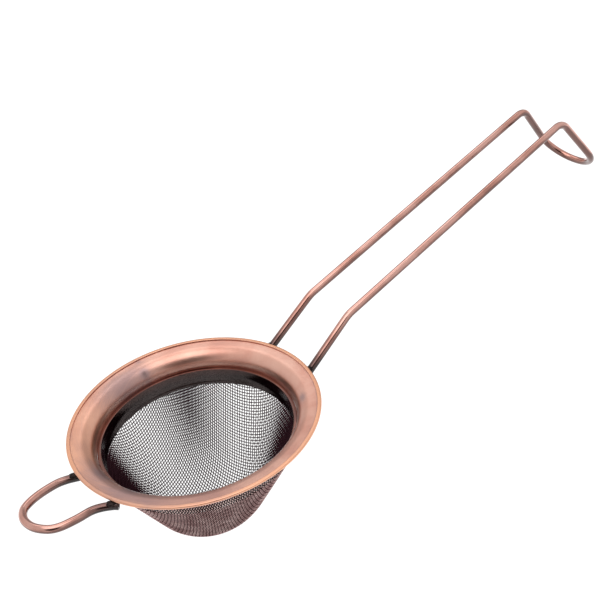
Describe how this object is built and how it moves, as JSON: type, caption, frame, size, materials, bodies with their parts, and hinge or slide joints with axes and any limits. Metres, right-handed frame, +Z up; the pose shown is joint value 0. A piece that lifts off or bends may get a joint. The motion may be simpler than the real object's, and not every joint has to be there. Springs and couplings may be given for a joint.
{
  "type": "conical fine-mesh strainer",
  "caption": "Hand-held cocktail strainer: a conical woven-wire bowl in a flared copper-plated rim, with a bent wire handle that ends in a hook and a wire rest loop opposite",
  "frame": {"origin": "centre of the circular rim, in the plane of the rim's top edge, where it meets the mouth of a glass", "axes": "+X runs along the handle, away from the rim, and the rest loop is on the -X side; +Z points up out of the open bowl, which hangs down along -Z; the strainer is drawn level, as it sits over a glass"},
  "size_m": [0.2744, 0.0888, 0.0811],
  "materials": {
    "brushed_copper": "copper-plated sheet steel, brushed, with darkened recesses",
    "black_oxide": "copper-plated steel left black in the recess, glossy",
    "wire_cloth": "fine woven wire cloth, blackened copper",
    "wire_copper": "copper-plated steel wire, lightly polished, darker underneath",
    "burnt_weld": "weld metal blackened by heat and patina"
  },
  "bodies": {
    "root": {"rim_flare": "brushed_copper", "inner_collar": "black_oxide", "mesh_bowl": "wire_cloth", "handle_wire": "wire_copper", "rest_loop": "wire_copper", "weld_handle_left": "burnt_weld", "weld_handle_right": "burnt_weld", "weld_loop_left": "burnt_weld", "weld_loop_right": "burnt_weld"}
  },
  "joints": []
}
